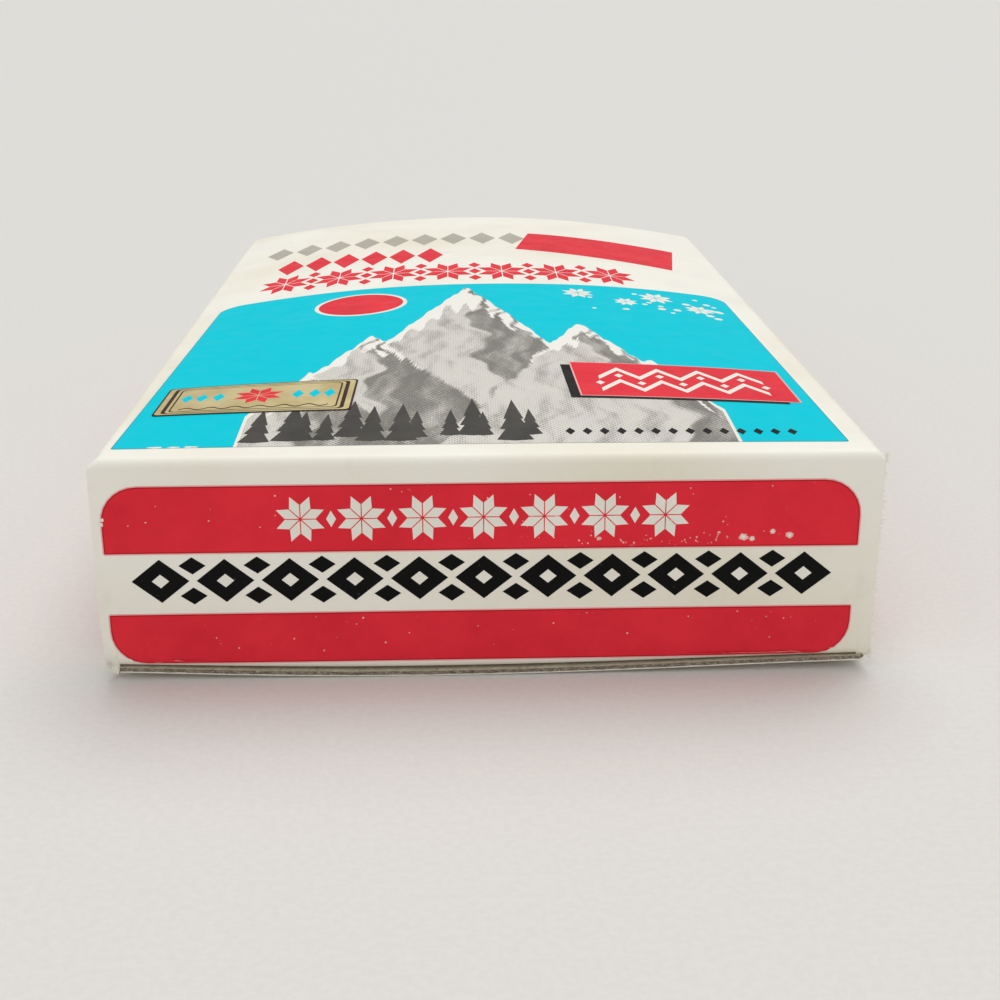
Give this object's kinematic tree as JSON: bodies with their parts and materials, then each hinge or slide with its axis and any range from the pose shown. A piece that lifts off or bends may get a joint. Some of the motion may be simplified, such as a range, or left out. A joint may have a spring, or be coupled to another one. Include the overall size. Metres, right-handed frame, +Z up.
{
  "type": "boxed catalytic hand warmer",
  "caption": "Flat tuck-end carton with opening end flaps holding a catalytic pocket hand warmer with lift-off cap and burner, pull-out striker, pouch and filler.",
  "frame": {"origin": "centre of the footprint, on the surface that the carton lies on", "axes": "+X across the width, +Y along the length away from the near printed end, +Z up through the printed face"},
  "size_m": [0.072, 0.116, 0.0255],
  "materials": {
    "printed_top": "satin print",
    "board_bottom": "matte",
    "white_board": "matte",
    "raw_board": "matte",
    "gold_foil": "foil",
    "printed_end": "satin print",
    "tank_steel": "brushed",
    "bright_steel": "polished",
    "cotton": "loose fibre",
    "felt": "felted",
    "red_fibre": "pressed fibre",
    "burner_brass": "satin",
    "pale_metal": "satin",
    "mesh_wire": "oxidised",
    "catalyst": "fibre mat",
    "cap_steel": "polished, lightly brushed",
    "striker_brass": "satin",
    "ring_wire": "wire",
    "flint": "matte",
    "flannel": "napped flannel",
    "flannel_hem": "stitched flannel",
    "milky_plastic": "translucent",
    "red_plastic": "moulded",
    "leaflet_paper": "thin paper"
  },
  "bodies": {
    "carton": {"top_panel": "printed_top", "bottom_panel": "board_bottom", "side_panel_left": "white_board", "side_panel_right": "white_board", "glue_seam_flap": "raw_board", "foil_sticker": "gold_foil"},
    "warmer": {"tank_case": "tank_steel", "tank_band": "bright_steel", "cotton_wadding": "cotton", "felt_pad": "felt", "collar_plate": "bright_steel", "collar_gasket": "red_fibre", "striker_tube": "bright_steel", "flint_strip": "flint"},
    "burner": {"burner_frame": "burner_brass", "burner_lugs": "pale_metal", "burner_mesh": "mesh_wire", "catalyst_pad": "catalyst"},
    "cap": {"cap_shell": "cap_steel"},
    "striker": {"striker_rod": "striker_brass", "striker_ring": "ring_wire", "striker_wick": "cotton"},
    "pouch": {"pouch_body": "flannel", "pouch_hem": "flannel_hem"},
    "leaflet": {"leaflet": "leaflet_paper"},
    "filler": {"filler_bottle": "milky_plastic", "filler_cap": "red_plastic"},
    "front_flap": {"front_flap": "printed_end"},
    "front_tuck_tab": {"front_tuck_tab": "white_board"},
    "front_dust_flap_left": {"front_dust_flap_left": "white_board"},
    "front_dust_flap_right": {"front_dust_flap_right": "white_board"},
    "rear_flap": {"rear_flap": "printed_end"},
    "rear_tuck_tab": {"rear_tuck_tab": "white_board"},
    "rear_dust_flap_left": {"rear_dust_flap_left": "white_board"},
    "rear_dust_flap_right": {"rear_dust_flap_right": "white_board"}
  },
  "joints": [
    {"name": "warmer_draw", "type": "slide", "parent": "carton", "child": "warmer", "axis": [0, -1, 0], "range_m": [0, 0.014]},
    {"name": "cap_pull", "type": "slide", "parent": "warmer", "child": "cap", "axis": [0, -1, 0], "range_m": [0, 0.023]},
    {"name": "burner_pull", "type": "slide", "parent": "warmer", "child": "burner", "axis": [0, -1, 0], "range_m": [0, 0.008]},
    {"name": "striker_pull", "type": "slide", "parent": "warmer", "child": "striker", "axis": [0, -1, 0], "range_m": [0, 0.022]},
    {"name": "pouch_draw", "type": "slide", "parent": "carton", "child": "pouch", "axis": [0, -1, 0], "range_m": [0, 0.014]},
    {"name": "leaflet_draw", "type": "slide", "parent": "pouch", "child": "leaflet", "axis": [0, -1, 0], "range_m": [0, 0.007]},
    {"name": "front_flap_swing", "type": "hinge", "parent": "carton", "child": "front_flap", "pos_m": [0, -0.058, 0.021], "axis": [-1, 0, 0], "range_deg": [0, 140]},
    {"name": "front_tuck_fold", "type": "hinge", "parent": "front_flap", "child": "front_tuck_tab", "pos_m": [0, -0.05745, 0.00195], "axis": [1, 0, 0], "range_deg": [0, 84]},
    {"name": "front_dust_left_swing", "type": "hinge", "parent": "carton", "child": "front_dust_flap_left", "pos_m": [-0.0352, -0.05715, 0.011], "axis": [0, 0, -1], "range_deg": [0, 91]},
    {"name": "front_dust_right_swing", "type": "hinge", "parent": "carton", "child": "front_dust_flap_right", "pos_m": [0.0352, -0.05715, 0.011], "axis": [0, 0, 1], "range_deg": [0, 91]},
    {"name": "rear_flap_swing", "type": "hinge", "parent": "carton", "child": "rear_flap", "pos_m": [0, 0.058, 0.001], "axis": [-1, 0, 0], "range_deg": [0, 90]},
    {"name": "rear_tuck_fold", "type": "hinge", "parent": "rear_flap", "child": "rear_tuck_tab", "pos_m": [0, 0.05745, 0.02005], "axis": [1, 0, 0], "range_deg": [0, 77]},
    {"name": "rear_dust_left_swing", "type": "hinge", "parent": "carton", "child": "rear_dust_flap_left", "pos_m": [-0.0352, 0.05715, 0.011], "axis": [0, 0, 1], "range_deg": [0, 59]},
    {"name": "rear_dust_right_swing", "type": "hinge", "parent": "carton", "child": "rear_dust_flap_right", "pos_m": [0.0352, 0.05715, 0.011], "axis": [0, 0, -1], "range_deg": [0, 59]},
    {"name": "filler_draw", "type": "slide", "parent": "carton", "child": "filler", "axis": [0, 1, 0], "range_m": [0, 0.006]}
  ],
  "couplings": [
    {"joint": "cap_pull", "follows": "warmer_draw", "ratio": 1.64},
    {"joint": "burner_pull", "follows": "warmer_draw", "ratio": 0.571},
    {"joint": "striker_pull", "follows": "warmer_draw", "ratio": 1.57},
    {"joint": "pouch_draw", "follows": "warmer_draw", "ratio": 1},
    {"joint": "leaflet_draw", "follows": "warmer_draw", "ratio": 0.5},
    {"joint": "front_flap_swing", "follows": "warmer_draw", "rad_per_m": 174.5},
    {"joint": "front_tuck_fold", "follows": "warmer_draw", "rad_per_m": 104.7},
    {"joint": "front_dust_left_swing", "follows": "warmer_draw", "rad_per_m": 113.42},
    {"joint": "front_dust_right_swing", "follows": "warmer_draw", "rad_per_m": 113.42},
    {"joint": "rear_flap_swing", "follows": "filler_draw", "rad_per_m": 261.7},
    {"joint": "rear_tuck_fold", "follows": "filler_draw", "rad_per_m": 222.44},
    {"joint": "rear_dust_left_swing", "follows": "filler_draw", "rad_per_m": 170.1},
    {"joint": "rear_dust_right_swing", "follows": "filler_draw", "rad_per_m": 170.1}
  ]
}
